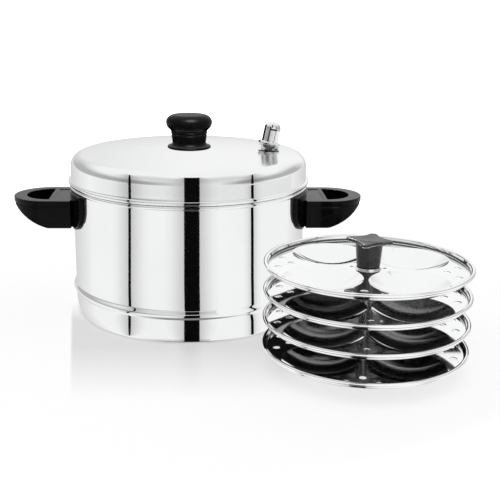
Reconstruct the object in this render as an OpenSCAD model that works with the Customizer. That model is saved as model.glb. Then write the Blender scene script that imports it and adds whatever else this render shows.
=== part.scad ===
// Idli steamer: a round steel pot with its domed lid and whistle, and beside it
// the lift-out stand that carries four idli plates on one rod under a star knob.
// Millimetres, +Z up. The origin is the centre of the pot's flat base, and the
// pot's two handles lie along X.

/* [Pot] */
// Outside diameter of the pot's wall
pot_d = 230; // [215:1:250]
// Height of the top of the rolled rim above the floor
pot_h = 132; // [126:1:150]
// Thickness of the pot's sheet
pot_t = 1; // [0.8:0.1:1.2]
// Outside radius of the rolled rim
rim_r = 2.1; // [1.8:0.1:2.6]
// Height of the middle of the pressed bead
bead_z = 29; // [26:1:40]
// Height of the pressed bead from edge to edge
bead_h = 9; // [7:0.5:12]
// How far the pressed bead stands out of the wall
bead_out = 2.4; // [1.5:0.1:3]
// Height at which the side starts to curve in towards the base
heel_z = 18; // [14:1:20]
// Radius of that curve
heel_r = 35; // [30:1:50]
// Radius of the corner between the side and the base
base_corner_r = 4; // [3:0.5:6]

/* [Lid] */
// Thickness of the lid's sheet
lid_t = 0.8; // [0.6:0.1:1]
// How far the lid's skirt stands outside the pot's wall
skirt_out = 1.9; // [1.5:0.1:2.5]
// Height of the skirt from the fold's middle to the shoulder
skirt_h = 14.6; // [12:0.2:24]
// Outside radius of the fold at the foot of the skirt
fold_r = 2.1; // [1.8:0.1:2.6]
// How far the fold stands out of the skirt
fold_out = 2.6; // [2:0.1:3]
// Radius of the shoulder between skirt and dome
shoulder_r = 12; // [8:0.5:12.5]
// Rise of the dome above the start of the shoulder
dome_rise = 16; // [15:0.5:22]
// Width of the flat land that shows round the knob's foot
land_edge = 1.5; // [1:0.5:5]
// How deep the lid's collar reaches into the pot
collar_h = 8; // [5:0.5:14]

/* [Lid knob] */
// Diameter of the knob's cap
knob_d = 45.5; // [38:0.5:52]
// Height of the knob
knob_h = 33.6; // [28:0.2:40]
// Diameter of the knob's foot
knob_foot_d = 43; // [40:0.5:48]
// Diameter of the neck just above the foot
knob_neck_d = 33; // [28:0.2:34]
// Diameter of the neck just under the cap
knob_throat_d = 37; // [34:0.2:38]
// Height of the cap from its underside to its top
knob_cap_h = 15.2; // [13:0.2:17]
// Depth of the two grooves round the neck
knob_groove = 0.7; // [0.4:0.1:1]
// Outside diameter of the threaded insert
insert_d = 9; // [8:0.5:12]
// Length of the threaded insert
insert_l = 14; // [10:1:18]
// Diameter of the knob's screw
knob_screw_d = 5; // [4:0.5:6]
// How far the screw reaches into the insert
knob_screw_grip = 11; // [8:1:13]
// Diameter of the washer under the lid
knob_washer_d = 18; // [14:1:24]
// Thickness of that washer
knob_washer_t = 1; // [0.8:0.1:1.5]

/* [Vent and whistle] */
// Distance of the vent from the lid's axis
vent_r = 80.8; // [60:0.1:82]
// Direction of the vent on the lid, counted from +X
vent_angle = 8.6; // [-30:0.2:30]
// Lean of the vent's axis over the square to the dome
vent_lean = 8.2; // [0:0.2:9]
// Diameter of the vent's collar on top of the lid
vent_collar_d = 20; // [18:0.5:24]
// Height of the collar's top above the dome
vent_collar_t = 3.6; // [3:0.1:5]
// Diameter of the neck that seats the collar on the dome
vent_neck_d = 15; // [12.5:0.5:16]
// Diameter of the vent's threaded stem below the collar
vent_stem_d = 10; // [8:0.5:11]
// Length of the stem below the collar
vent_stem_l = 9; // [8:0.5:12]
// Diameter of the nozzle that the whistle sits on
nozzle_d = 7; // [6:0.5:8]
// Height of the nozzle above the collar
nozzle_h = 11.6; // [9:0.2:14]
// Diameter of the steam bore
steam_bore_d = 2.4; // [2:0.2:3]
// Diameter of the vent's nut across its corners
vent_nut_d = 16; // [15:0.5:20]
// Thickness of the vent's nut
vent_nut_t = 4; // [3:0.5:5]
// Diameter of the vent's gasket
gasket_d = 18; // [16:0.5:20]
// Thickness of the vent's gasket
gasket_t = 1.5; // [1:0.1:2]
// Diameter of the whistle's body
whistle_d = 16.5; // [15:0.5:18]
// Height of the whistle
whistle_h = 23.5; // [21:0.5:30]
// Diameter of the whistle's flange
whistle_flange_d = 22.5; // [20:0.5:24]
// Thickness of the whistle's flange
whistle_flange_t = 2.8; // [2:0.2:4]
// Radius of the whistle's rounded top edge
whistle_round = 7; // [3:0.5:7.5]
// Diameter of the whistle's cross hole
whistle_port_d = 2; // [1.5:0.5:3]

/* [Handles] */
// How far a handle's tip lies outside the pot's wall
handle_reach = 59; // [52:1:70]
// Width of a handle's loop, which ends in a half circle
handle_w = 68; // [62:1:72]
// Height of a handle's loop
handle_h = 27; // [24:1:32]
// Drop from the top of the rim to a handle's top face
handle_drop = 14.2; // [13:0.2:20]
// Height of the loop's face at its tip
handle_tip_h = 3.5; // [2:0.5:8]
// Radius of the loop's curved underside
belly_r = 73; // [70:1:90]
// Distance from the tip to the middle of that curve
belly_x = 56; // [50:1:60]
// Width of the finger opening
finger_w = 49; // [44:1:50]
// Thickness of the loop at its tip
handle_tip_t = 12.5; // [11:0.5:16]
// Width of the shoe that hugs the wall
shoe_w = 116; // [100:1:130]
// Thickness of the shoe
shoe_t = 3; // [3:0.5:6]
// Gap from the rolled rim down to the shoe
shoe_drop = 2.3; // [1:0.1:4]
// Height of the shoe's lower edge above the loop's
shoe_rise = 0.5; // [0:0.5:5]
// Radius of the shoe's lower corners
shoe_corner_r = 20; // [10:1:22]
// Radius of its upper corners
shoe_top_corner_r = 4; // [2:1:8]
// Drop from the top face to the groove round the loop
groove_drop = 6.2; // [5:0.1:8]
// Width of the groove round the loop
groove_w = 1.2; // [0.8:0.1:2]
// Depth of the groove round the loop
groove_depth = 0.7; // [0.4:0.1:1]
// Size of the plain panel in the top face, across the loop
panel_w = 46; // [30:1:50]
// Size of that panel along the loop
panel_l = 11; // [8:0.5:12]
// Depth of that panel
panel_depth = 0.6; // [0.4:0.1:1]

/* [Handle fixings] */
// Diameter of the boss welded to the pot
boss_d = 10; // [9:0.5:12]
// Length of that boss
boss_l = 10; // [8:0.5:11]
// Diameter of the boss's weld flange
boss_flange_d = 17; // [14:0.5:20]
// Thickness of the weld flange
boss_flange_t = 1.4; // [1:0.1:1.8]
// Diameter of a handle's screw
screw_d = 5; // [4:0.5:5]
// Diameter of the screw's head
screw_head_d = 9; // [8:0.5:10]
// Height of the screw's head
screw_head_h = 3; // [2.5:0.5:3.5]
// Diameter of the screw's washer
screw_washer_d = 11; // [10.5:0.5:12]
// Thickness of the screw's washer
screw_washer_t = 1; // [0.8:0.1:1.2]
// Depth of the counterbore in the finger opening's flat wall
counterbore_l = 5; // [4.5:0.5:6]
// How far the screw reaches into the boss
screw_grip = 7; // [5:0.5:7.5]

/* [Stand] */
// Direction from the pot to the stand, counted from +X
stand_angle = -45.8; // [-60:0.2:-45]
// Gap in plan between the lid's fold and the plates
stand_gap = 12; // [8:1:40]
// Diameter of the rod
rod_d = 6; // [5:0.5:7]
// Diameter of the rod's head across its corners
rod_head_d = 12; // [11:0.5:14]
// Height of the rod's head
rod_head_h = 3; // [2.5:0.1:3.2]
// How far the rod reaches into the star knob
rod_grip = 15; // [12:0.5:16]
// Diameter of the foot
foot_d = 52; // [46:1:56]
// Diameter of the foot's raised middle
foot_top_d = 30; // [26:1:36]
// Height of the foot
foot_h = 5; // [4.8:0.1:6]
// Width of the foot's flat edge
foot_edge = 5; // [3:0.5:6]
// Thickness of the foot's sheet
foot_t = 1.2; // [1:0.1:1.3]
// Diameter of the spacers on the rod
spacer_d = 12; // [10:0.5:16]
// Diameter of the washer under the star knob
top_washer_d = 23; // [21:0.5:26]
// Thickness of that washer
top_washer_t = 1.2; // [1:0.1:2]

/* [Idli plates] */
// Diameter of a plate over its rolled edge
plate_d = 180; // [178:1:190]
// Thickness of a plate's sheet
plate_t = 0.8; // [0.6:0.1:1]
// Distance from one plate to the next
plate_pitch = 24.6; // [22:0.2:30]
// Height of the lowest plate's flat above the floor
plate_low_z = 14.8; // [14:0.2:20]
// Height of a plate's edge above its flat
edge_h = 5.4; // [4.5:0.1:7]
// Outside radius of a plate's rolled edge
edge_r = 1.7; // [1.5:0.1:2]
// How far the edge's wall leans out
edge_lean = 0.8; // [0.4:0.1:1.5]
// Diameter of a cup at the plate's flat
cup_d = 68; // [62:0.5:68.5]
// Depth of a cup
cup_depth = 11; // [8:0.5:11.5]
// Radius of a cup's rounded lip
lip_r = 2; // [1.5:0.1:2.5]
// Distance of the cups from the plate's middle
cup_ring_r = 50.6; // [50:0.1:51.2]
// Diameter of the outer steam holes
steam_d = 6; // [4:0.5:7]
// Distance of the inner steam hole of each three from the middle
steam_in_r = 66.5; // [62:0.5:68.5]
// Distance of the outer two from the middle
steam_out_r = 77.5; // [76:0.5:78]
// Angle between an outer one and the middle of its three
steam_fan = 10; // [7:0.5:11]
// Diameter of the small holes beside the rod
vent_hole_d = 3; // [2:0.5:3.5]
// Distance of the small holes from the middle
vent_hole_r = 14; // [13:0.5:15]
// Turn of each plate on the rod, from the top plate down
plate_turn_1 = -13; // [-45:1:45]
// Turn of the second plate
plate_turn_2 = -7; // [-45:1:45]
// Turn of the third plate
plate_turn_3 = -9; // [-45:1:45]
// Turn of the lowest plate
plate_turn_4 = -11; // [-45:1:45]

/* [Star knob] */
// Size of the star over its corners
star_d = 40; // [36:0.5:46]
// Half the diagonal of the square that the star is cut from
star_half = 21.6; // [20.5:0.1:22]
// Distance from the middle to the hollow of each side
star_waist = 12.8; // [12.8:0.1:13.5]
// Radius of the hollow sides
star_hollow_r = 24; // [20:1:40]
// Thickness of the star
star_t = 2.5; // [2.2:0.1:4]
// Thickness of the ledge under the star
ledge_t = 1.1; // [0.8:0.1:2]
// How far the ledge lies inside the star's outline
ledge_in = 1; // [0.6:0.1:1]
// Height of the star knob
star_knob_h = 23.8; // [22:0.2:28]
// Diameter of the stem under the star
stem_top_d = 23.4; // [21:0.2:23.8]
// Diameter of the stem at its foot
stem_foot_d = 20; // [18:0.2:21]
// Diameter of the dished middle
dish_d = 22; // [16:0.5:23]
// Depth of the dished middle
dish_depth = 0.8; // [0.4:0.1:1.2]
// Outside diameter of the threaded bush
bush_d = 9.4; // [9:0.2:11]
// Length of the threaded bush
bush_l = 13; // [10:0.5:14]
// Turn of the star
star_turn = -22; // [-45:1:45]

/* [Fits] */
// Gap between the lid's collar and the pot's wall
collar_gap = 0.6; // [0.4:0.1:1]
// Gap between resting pieces that come apart
rest_gap = 0.3; // [0.2:0.05:0.4]
// Gap between the nozzle and the whistle's bore
nozzle_gap = 0.5; // [0.4:0.1:0.8]
// Radial clearance of a piece that turns on a shaft
turn_gap = 0.08; // [0.05:0.01:0.1]
// Radial clearance of a bolt, insert or pocket
fix_gap = 0.3; // [0.2:0.05:0.5]
// Clearance of threads and of faces that hug a curve
hug_gap = 0.06; // [0.04:0.01:0.1]
// Gap between a plate and the spacers that it turns between
stack_gap = 0.1; // [0.05:0.05:0.2]

/* [Hidden] */
$fn = 96;

steel = [0.80, 0.81, 0.82];
dark_steel = [0.62, 0.63, 0.65];
bakelite = [0.06, 0.06, 0.065];
grey_plastic = [0.27, 0.27, 0.28];
brass = [0.78, 0.62, 0.30];
silicone = [0.75, 0.76, 0.74];

// How far a cutting tool runs past the face that it opens
eps = 0.5;

// Pot
pot_r = pot_d / 2;
inner_r = pot_r - pot_t;
rim_c = [pot_r + rim_r - pot_t, pot_h - rim_r];
rim_end = -180 + acos((rim_r - pot_t + hug_gap) / rim_r);
corner_x = pot_r - heel_r + sqrt(pow(heel_r - base_corner_r, 2) - pow(heel_z - base_corner_r, 2));
heel_end = atan2(base_corner_r - heel_z, corner_x - pot_r + heel_r);
bead_r = (bead_h * bead_h / 4 + bead_out * bead_out) / (2 * bead_out);
bead_half = asin(bead_h / 2 / bead_r);

// Lid
seat_z = pot_h + rest_gap;
collar_r = inner_r - collar_gap;
skirt_r = pot_r + skirt_out;
fold_c = [skirt_r + fold_out - fold_r, seat_z + fold_r];
fold_start = acos((fold_out - fold_r) / fold_r * -1);
shoulder_z = fold_c[1] + skirt_h;
shoulder_x = skirt_r - shoulder_r;
// The dome's sphere touches the shoulder's circle and the dome's highest point.
dome_r = (pow(shoulder_x, 2) + pow(dome_rise, 2) - pow(shoulder_r, 2)) / (2 * (dome_rise - shoulder_r));
dome_c = shoulder_z + dome_rise - dome_r;
dome_start = atan2(shoulder_z - dome_c, shoulder_x);
land_r = knob_foot_d / 2 + land_edge;
land_z = dome_height(land_r);

// Vent
vent_z = dome_height(vent_r);
vent_tilt = asin(vent_r / dome_r);
vent_wedge = vent_collar_d / 2 * tan(vent_lean);
nut_z = -lid_t - hug_gap - gasket_t - gasket_d / 2 * tan(vent_lean);

// Handles
handle_top = pot_h - handle_drop;
handle_mid = handle_top - handle_h / 2;
tip_x = pot_r + handle_reach;
loop_x = tip_x - handle_w / 2;
finger_x = tip_x - handle_tip_t - finger_w / 2;
shoe_top = pot_h - 2 * rim_r - shoe_drop;
loop_low = handle_top - handle_h;
shoe_low = loop_low + shoe_rise;
shoe_h = shoe_top - shoe_low;
shoe_r = pot_r + shoe_t;
head_x = finger_x - counterbore_l;
panel_x = (shoe_r + finger_x) / 2 + panel_depth;

// Stand
stand_r = skirt_r + fold_out + stand_gap + plate_d / 2;
stand_at = stand_r * [cos(stand_angle), sin(stand_angle)];
rod_r = rod_d / 2;
plate_turns = [plate_turn_1, plate_turn_2, plate_turn_3, plate_turn_4];
edge_c = [plate_d / 2 - edge_r, edge_h - edge_r];
edge_wall = edge_c[0] - edge_r + plate_t;
cup_r = (pow(cup_d / 2, 2) + pow(cup_depth, 2)) / (2 * cup_depth);
top_z = plate_z(1) + top_washer_t;

// Height of the outer face of the dome at a distance from the lid's axis
function dome_height(r) = dome_c + sqrt(dome_r * dome_r - r * r);

// Height of the flat of a plate, where plate 1 is the top one
function plate_z(i) = plate_low_z + (len(plate_turns) - i) * plate_pitch;

// Points along an arc round c, from angle a to angle b in n steps
function arc(c, r, a, b, n) = [for (i = [0 : n]) let (t = a + (b - a) * i / n) c + r * [cos(t), sin(t)]];

function unit(v) = v / norm(v);
function turned(v) = [-v[1], v[0]];
function reversed(p) = [for (i = [len(p) - 1 : -1 : 0]) p[i]];

// A line parallel to a path, at distance d on its left, with mitred corners
function parallel(p, d) = [for (i = [0 : len(p) - 1])
    let (a = turned(unit(p[max(i, 1)] - p[max(i, 1) - 1])),
        b = turned(unit(p[min(i, len(p) - 2) + 1] - p[min(i, len(p) - 2)])),
        m = unit(a + b))
    p[i] + m * d / (m * b)];

// Sheet metal of one thickness spun round the axis along a path
module spun(path, t) {
    rotate_extrude() polygon(concat(path, reversed(parallel(path, t))));
}

module tube(outer, inner, z, h) {
    translate([0, 0, z]) difference() {
        cylinder(r = outer, h = h);
        translate([0, 0, -eps]) cylinder(r = inner, h = h + 2 * eps);
    }
}

// Pot

module pot_body() {
    outside = concat(
        [[0, 0]],
        arc([corner_x, base_corner_r], base_corner_r, -90, heel_end, 6),
        arc([pot_r - heel_r, heel_z], heel_r, heel_end * 0.9, 0, 10),
        arc([pot_r + bead_out - bead_r, bead_z], bead_r, -bead_half, bead_half, 12),
        arc(rim_c, rim_r - pot_t, 180, rim_end, 20));
    color(steel) spun(outside, pot_t);
}

// A threaded boss that is welded to the wall
module boss() {
    color(dark_steel) difference() {
        translate([0, 0, handle_mid]) rotate([0, 90, 0]) {
            cylinder(d = boss_flange_d, h = pot_r + boss_flange_t);
            cylinder(d = boss_d, h = pot_r + boss_l);
        }
        cylinder(r = pot_r + hug_gap, h = pot_h, $fn = 360);
        translate([pot_r + boss_flange_t, 0, handle_mid]) rotate([0, 90, 0])
            cylinder(r = screw_d / 2 + hug_gap, h = boss_l);
    }
}

// Handle, drawn for the right side

module loop_outline(inset) {
    translate([loop_x, 0]) circle(d = handle_w - 2 * inset);
    translate([pot_r, -handle_w / 2 + inset]) square([loop_x - pot_r, handle_w - 2 * inset]);
}

// The loop, bounded below by a curved belly
module loop_block() {
    intersection() {
        translate([0, 0, loop_low]) linear_extrude(handle_h) loop_outline(0);
        translate([tip_x - belly_x, 0, handle_top - handle_tip_h + sqrt(belly_r * belly_r - belly_x * belly_x)])
            rotate([90, 0, 0]) cylinder(r = belly_r, h = 2 * handle_w, center = true, $fn = 180);
    }
}

// A shape with rounded corners across the pot, from height low to height high over its lower edge
module shoe_half(r, low, high, corner_z) {
    for (s = [1, -1]) translate([s * (shoe_w / 2 - r), corner_z]) circle(r = r);
    translate([-shoe_w / 2 + r, low]) square([shoe_w - 2 * r, high - low]);
}

module shoe() {
    intersection() {
        translate([0, 0, shoe_low]) cylinder(r = shoe_r, h = shoe_h, $fn = 180);
        translate([0, 0, shoe_low]) rotate([90, 0, 90]) linear_extrude(2 * pot_r) {
            shoe_half(shoe_corner_r, 0, shoe_h / 2, shoe_corner_r);
            shoe_half(shoe_top_corner_r, shoe_h / 2, shoe_h, shoe_h - shoe_top_corner_r);
            translate([-shoe_w / 2, shoe_corner_r]) square([shoe_w, shoe_h - shoe_corner_r - shoe_top_corner_r]);
        }
    }
}

module handle() {
    color(bakelite) difference() {
        union() {
            loop_block();
            shoe();
        }
        cylinder(r = pot_r + hug_gap, h = pot_h, $fn = 360);
        // The D-shaped finger opening
        translate([0, 0, loop_low - eps]) linear_extrude(handle_h + 2 * eps) intersection() {
            translate([finger_x, 0]) circle(d = finger_w);
            translate([finger_x, -finger_w / 2]) square([finger_w, finger_w]);
        }
        // The groove round the loop
        translate([0, 0, handle_top - groove_drop]) linear_extrude(groove_w) difference() {
            translate([shoe_r, -handle_w]) square([handle_reach, 2 * handle_w]);
            loop_outline(groove_depth);
        }
        // The plain panel in the top face
        translate([panel_x - panel_l / 2, -panel_w / 2, handle_top - panel_depth])
            cube([panel_l, panel_w, panel_depth + shoe_top]);
        // The pockets of the boss and its flange, and the screw's hole
        translate([pot_r - eps, 0, handle_mid]) rotate([0, 90, 0]) {
            cylinder(d = boss_flange_d + 2 * fix_gap, h = boss_flange_t + fix_gap + eps);
            cylinder(d = boss_d + 2 * fix_gap, h = boss_l + fix_gap + eps);
            cylinder(d = screw_d + 2 * fix_gap, h = finger_x - pot_r + 2 * eps);
        }
        translate([head_x, 0, handle_mid]) rotate([0, 90, 0])
            cylinder(d = screw_washer_d + 2 * fix_gap, h = counterbore_l + eps);
    }
}

module handle_washer() {
    color(dark_steel) translate([head_x, 0, handle_mid]) rotate([0, 90, 0])
        tube(screw_washer_d / 2, screw_d / 2 + fix_gap, 0, screw_washer_t);
}

module handle_screw() {
    color(dark_steel) translate([0, 0, handle_mid]) rotate([0, 90, 0]) {
        translate([0, 0, head_x + screw_washer_t]) cylinder(d = screw_head_d, h = screw_head_h);
        translate([0, 0, pot_r + boss_l - screw_grip])
            cylinder(d = screw_d, h = head_x + screw_washer_t - pot_r - boss_l + screw_grip + eps);
    }
}

// Puts a piece that is drawn for the right side on one side of the pot
module on_side(side) {
    rotate([0, 0, side == "left" ? 180 : 0]) children();
}

// Lid

module lid_shell() {
    outside = concat(
        [[0, land_z]],
        arc([0, dome_c], dome_r, 90 - asin(land_r / dome_r), dome_start, 24),
        arc([shoulder_x, shoulder_z], shoulder_r, dome_start * 0.98, 0, 14),
        arc(fold_c, fold_r, fold_start, -90, 16),
        [[collar_r, seat_z], [collar_r, seat_z - collar_h]]);
    color(steel) difference() {
        spun(outside, -lid_t);
        translate([0, 0, land_z - lid_t - eps]) cylinder(d = knob_screw_d + 2 * fix_gap, h = lid_t + 2 * eps);
        at_vent() translate([0, 0, -vent_stem_l]) cylinder(d = vent_stem_d + 2 * fix_gap, h = 2 * vent_stem_l);
    }
}

module lid_knob() {
    foot_round = 1.4;
    foot_r = knob_foot_d / 2;
    neck_r = knob_neck_d / 2;
    throat_r = knob_throat_d / 2;
    sweep_r = foot_r - foot_round - neck_r;
    neck_z = 2 * foot_round + sweep_r;
    throat_z = knob_h - knob_cap_h;
    cap_flat_r = 14;
    cap_crown = 0.5;
    cap_z = throat_z + (knob_cap_h - cap_crown) / 2;
    cap_low = -acos((throat_r - cap_flat_r) / (knob_d / 2 - cap_flat_r));
    color(bakelite) translate([0, 0, land_z]) difference() {
        rotate_extrude() polygon(concat(
            [[0, 0]],
            arc([foot_r - foot_round, foot_round], foot_round, -90, 90, 8),
            arc([neck_r + sweep_r, 2 * foot_round + sweep_r], sweep_r, -90, -180, 8),
            // Two grooves in the upper part of the neck
            [for (k = [0.62, 0.86], s = [-1, 0, 1])
                let (w = k + s * knob_groove * 1.3 / (throat_z - neck_z))
                [neck_r + (throat_r - neck_r) * w - (s == 0 ? knob_groove : 0),
                    neck_z + (throat_z - neck_z) * w]],
            [[throat_r, throat_z]],
            [for (i = [0 : 18]) let (t = cap_low + (90 - cap_low) * i / 18)
                [cap_flat_r + (knob_d / 2 - cap_flat_r) * cos(t),
                    cap_z + (t < 0 ? (cap_z - throat_z) * sin(t) / sin(-cap_low)
                        : (knob_h - cap_crown - cap_z) * sin(t))]],
            [[0, knob_h]]));
        translate([0, 0, -eps]) cylinder(d = insert_d + 2 * hug_gap, h = insert_l + eps);
    }
}

module knob_insert() {
    color(brass) tube(insert_d / 2, knob_screw_d / 2 + hug_gap, land_z, insert_l);
}

module knob_washer() {
    color(dark_steel) tube(knob_washer_d / 2, knob_screw_d / 2 + fix_gap, land_z - lid_t - knob_washer_t, knob_washer_t);
}

module knob_screw() {
    under = land_z - lid_t - knob_washer_t;
    color(dark_steel) {
        translate([0, 0, under - screw_head_h]) cylinder(d = screw_head_d, h = screw_head_h);
        translate([0, 0, under - eps]) cylinder(d = knob_screw_d, h = land_z - under + knob_screw_grip + eps);
    }
}

// The vent's own frame: its origin is on the dome, and its Z leans out with the whistle
module at_vent() {
    rotate([0, 0, vent_angle]) translate([vent_r, 0, vent_z]) rotate([0, vent_tilt + vent_lean, 0]) children();
}

// All that lies between two heights over the dome at the vent
module over_dome(low, high) {
    rotate([0, -vent_lean, 0]) translate([-gasket_d, -gasket_d, low]) cube([2 * gasket_d, 2 * gasket_d, high - low]);
}

module vent_stem() {
    color(steel) at_vent() difference() {
        union() {
            intersection() {
                translate([0, 0, -vent_wedge - eps]) cylinder(d = vent_neck_d, h = vent_collar_t + vent_wedge + eps);
                over_dome(hug_gap, 2 * vent_collar_t + vent_wedge);
            }
            translate([0, 0, vent_wedge + hug_gap]) cylinder(d = vent_collar_d, h = vent_collar_t - vent_wedge - hug_gap);
            translate([0, 0, -vent_stem_l]) cylinder(d = vent_stem_d, h = vent_stem_l + eps);
            cylinder(d = nozzle_d, h = vent_collar_t + nozzle_h);
        }
        translate([0, 0, -vent_stem_l - eps])
            cylinder(d = steam_bore_d, h = vent_stem_l + vent_collar_t + nozzle_h + 2 * eps);
    }
}

// The gasket is pressed into a wedge between the dome and the nut.
module vent_gasket() {
    color(silicone) at_vent() intersection() {
        tube(gasket_d / 2, vent_stem_d / 2 + hug_gap, nut_z, gasket_t + 2 * vent_wedge);
        over_dome(nut_z - vent_wedge - eps, -lid_t - hug_gap);
    }
}

module vent_nut() {
    color(dark_steel) at_vent() translate([0, 0, nut_z - vent_nut_t]) difference() {
        cylinder(d = vent_nut_d, h = vent_nut_t, $fn = 6);
        translate([0, 0, -eps]) cylinder(r = vent_stem_d / 2 + hug_gap, h = vent_nut_t + 2 * eps);
    }
}

module whistle() {
    low = vent_collar_t + rest_gap;
    body_r = whistle_d / 2;
    color(steel) at_vent() difference() {
        translate([0, 0, low]) rotate_extrude() polygon(concat(
            [[0, 0]],
            arc([whistle_flange_d / 2 - whistle_flange_t / 2, whistle_flange_t / 2], whistle_flange_t / 2, -90, 90, 10),
            [[body_r, whistle_flange_t]],
            arc([body_r - whistle_round, whistle_h - whistle_round], whistle_round, 0, 90, 10),
            [[0, whistle_h]]));
        translate([0, 0, low - eps]) cylinder(r = nozzle_d / 2 + nozzle_gap, h = nozzle_h + eps);
        translate([0, 0, low + nozzle_h - whistle_port_d]) rotate([90, 0, 0])
            cylinder(d = whistle_port_d, h = whistle_d + 2 * eps, center = true);
    }
}

// Stand

module at_stand() {
    translate([stand_at[0], stand_at[1], 0]) children();
}

module stand_foot() {
    top_face = [[rod_r + fix_gap, foot_h], [foot_top_d / 2, foot_h],
        [foot_d / 2 - foot_edge, foot_t], [foot_d / 2, foot_t]];
    color(steel) at_stand() spun(top_face, -foot_t);
}

module stand_rod() {
    under = foot_h - foot_t;
    color(dark_steel) at_stand() {
        translate([0, 0, under - rod_head_h]) cylinder(d = rod_head_d, h = rod_head_h, $fn = 6);
        translate([0, 0, under - eps]) cylinder(r = rod_r, h = top_z + rod_grip - under + eps);
    }
}

module foot_spacer() {
    color(steel) at_stand() tube(spacer_d / 2, rod_r + fix_gap, foot_h, plate_z(4) - plate_t - stack_gap - foot_h);
}

// The spacer under plate i
module spacer(i) {
    color(steel) at_stand() tube(spacer_d / 2, rod_r + fix_gap, plate_z(i + 1) + stack_gap,
        plate_pitch - plate_t - 2 * stack_gap);
}

module top_washer() {
    color(steel) at_stand() tube(top_washer_d / 2, rod_r + fix_gap, plate_z(1) + stack_gap, top_washer_t - stack_gap);
}

// A cup: a spherical bowl whose lip rolls over into the plate's flat
module cup() {
    lip_c = cup_d / 2 + lip_r * tan(asin(cup_d / 2 / cup_r) / 2);
    steep = asin(cup_d / 2 / cup_r);
    inside = concat(
        arc([0, cup_r - cup_depth], cup_r, -90, -90 + steep * 0.94, 14),
        arc([lip_c, -lip_r], lip_r, 90 + steep * 0.9, 90, 5),
        [[lip_c + plate_t, 0]]);
    spun(inside, -plate_t);
}

// A plate drawn with its flat at z = 0: the rolled edge, the cups and the holes
module plate_shape() {
    steep = asin(cup_d / 2 / cup_r);
    lip_c = cup_d / 2 + lip_r * tan(steep / 2);
    outside = concat(
        [[0, -plate_t], [edge_wall - edge_lean, -plate_t]],
        arc(edge_c, edge_r - plate_t, 180, -180 + acos((edge_r - plate_t) / edge_r * 0.9), 16));
    difference() {
        union() {
            difference() {
                spun(outside, plate_t);
                for (a = [45 : 90 : 315]) rotate([0, 0, a]) translate([cup_ring_r, 0, -plate_t - eps])
                    cylinder(r = lip_c + plate_t / 2, h = plate_t + 2 * eps);
            }
            for (a = [45 : 90 : 315]) rotate([0, 0, a]) translate([cup_ring_r, 0, 0]) cup();
        }
        translate([0, 0, -plate_t - eps]) linear_extrude(plate_t + 2 * eps) {
            circle(r = rod_r + turn_gap);
            for (a = [0 : 90 : 270]) rotate([0, 0, a]) {
                translate([vent_hole_r, 0]) circle(d = vent_hole_d);
                translate([steam_in_r, 0]) circle(d = steam_d);
                for (s = [-1, 1]) rotate([0, 0, s * steam_fan]) translate([steam_out_r, 0]) circle(d = steam_d);
            }
        }
    }
}

module idli_plate(i) {
    color(steel) at_stand() translate([0, 0, plate_z(i)]) rotate([0, 0, plate_turns[i - 1]]) plate_shape();
}

// Star knob

module star(inset) {
    difference() {
        intersection() {
            circle(d = star_d - 2 * inset);
            rotate([0, 0, 45]) square(sqrt(2) * (star_half - inset), center = true);
        }
        for (a = [45 : 90 : 315]) rotate([0, 0, a])
            translate([star_waist - inset + star_hollow_r, 0]) circle(r = star_hollow_r);
    }
}

module knob_bush() {
    color(brass) at_stand() tube(bush_d / 2, rod_r + hug_gap, top_z + stack_gap, bush_l);
}

module star_knob() {
    stem_h = star_knob_h - star_t - ledge_t;
    dish_r = (pow(dish_d / 2, 2) + pow(dish_depth, 2)) / (2 * dish_depth);
    color(grey_plastic) at_stand() translate([0, 0, top_z + stack_gap]) difference() {
        union() {
            cylinder(r1 = stem_foot_d / 2, r2 = stem_top_d / 2, h = stem_h + ledge_t);
            rotate([0, 0, star_turn]) {
                translate([0, 0, stem_h]) linear_extrude(ledge_t + eps) star(ledge_in);
                translate([0, 0, stem_h + ledge_t]) linear_extrude(star_t) star(0);
            }
        }
        translate([0, 0, star_knob_h - dish_depth + dish_r]) sphere(r = dish_r, $fn = 180);
        translate([0, 0, -eps]) cylinder(r = bush_d / 2 + turn_gap, h = rod_grip + 1 + eps);
    }
}

pot_body();
for (side = ["left", "right"]) on_side(side) {
    boss();
    handle();
    handle_washer();
    handle_screw();
}
lid_shell();
lid_knob();
knob_insert();
knob_washer();
knob_screw();
vent_stem();
vent_gasket();
vent_nut();
whistle();
stand_foot();
stand_rod();
foot_spacer();
for (i = [1 : 3]) spacer(i);
top_washer();
for (i = [1 : 4]) idli_plate(i);
knob_bush();
star_knob();
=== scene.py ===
"""Looks of the idli steamer: polished sheet, black handles, a dark star knob and a white studio."""

import math

import bmesh
import bpy
from mathutils import Matrix, Vector
from mathutils.geometry import delaunay_2d_cdt


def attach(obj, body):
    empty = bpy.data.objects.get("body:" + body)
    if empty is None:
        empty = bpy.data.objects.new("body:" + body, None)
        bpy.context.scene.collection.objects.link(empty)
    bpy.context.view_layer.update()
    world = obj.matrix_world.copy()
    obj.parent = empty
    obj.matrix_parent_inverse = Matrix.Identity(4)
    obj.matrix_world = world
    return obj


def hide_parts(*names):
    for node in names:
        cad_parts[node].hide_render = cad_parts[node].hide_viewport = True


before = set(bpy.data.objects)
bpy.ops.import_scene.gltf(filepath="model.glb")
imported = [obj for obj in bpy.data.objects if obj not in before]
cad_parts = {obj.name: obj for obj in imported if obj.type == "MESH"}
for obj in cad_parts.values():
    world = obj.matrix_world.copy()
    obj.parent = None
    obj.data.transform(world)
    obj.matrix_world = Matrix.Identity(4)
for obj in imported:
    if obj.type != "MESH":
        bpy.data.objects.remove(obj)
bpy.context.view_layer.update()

MM = 0.001
SMOOTH_ANGLE = math.radians(32)

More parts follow.
